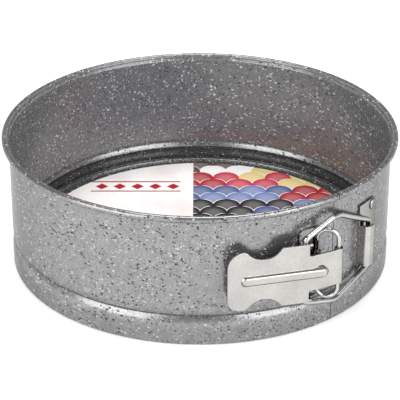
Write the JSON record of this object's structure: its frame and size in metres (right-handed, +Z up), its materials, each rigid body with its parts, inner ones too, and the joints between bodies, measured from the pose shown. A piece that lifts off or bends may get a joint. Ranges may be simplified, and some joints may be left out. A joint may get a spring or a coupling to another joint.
{
  "type": "springform pan",
  "caption": "Round baking pan with a rolled rim, a spring ring closed by an over-centre lever and wire bail, a drop-in flat base and a card insert.",
  "frame": {"origin": "on the pan's axis, at the resting plane under the ring", "axes": "+Z up along the pan's axis; the ring's seam and its latch face -Y"},
  "size_m": [0.1876, 0.1952, 0.0655],
  "materials": {
    "coating": "satin grey non-stick coating with a fine light and dark fleck",
    "latch_steel": "bright stamped steel",
    "wire_steel": "bright drawn wire",
    "rivet": "satin",
    "card": "printed, slightly glossy"
  },
  "bodies": {
    "base": {"base": "coating"},
    "ring": {"ring": "coating", "hinge_bracket": "latch_steel", "bracket_rivets": "rivet", "hinge_loop": "wire_steel", "catch": "latch_steel", "catch_rivets": "rivet"},
    "lever": {"lever": "latch_steel"},
    "bail": {"bail": "wire_steel"},
    "card": {"card_insert": "card"}
  },
  "joints": [
    {"name": "ring_lift", "type": "slide", "parent": "base", "child": "ring", "axis": [0, 0, 1], "range_m": [0, 0.075]},
    {"name": "lever_hinge", "type": "hinge", "parent": "ring", "child": "lever", "pos_m": [-0.00467, -0.09909, 0.03425], "axis": [0, 0, 1], "range_deg": [0, 80]},
    {"name": "bail_hinge", "type": "hinge", "parent": "lever", "child": "bail", "pos_m": [-0.01989, -0.09398, 0.03425], "axis": [0, 0, 1], "range_deg": [-55, 0]},
    {"name": "card_lift", "type": "slide", "parent": "base", "child": "card", "axis": [0, 0, 1], "range_m": [0, 0.08]}
  ],
  "couplings": [
    {"joint": "bail_hinge", "follows": "lever_hinge", "ratio": -0.645}
  ]
}
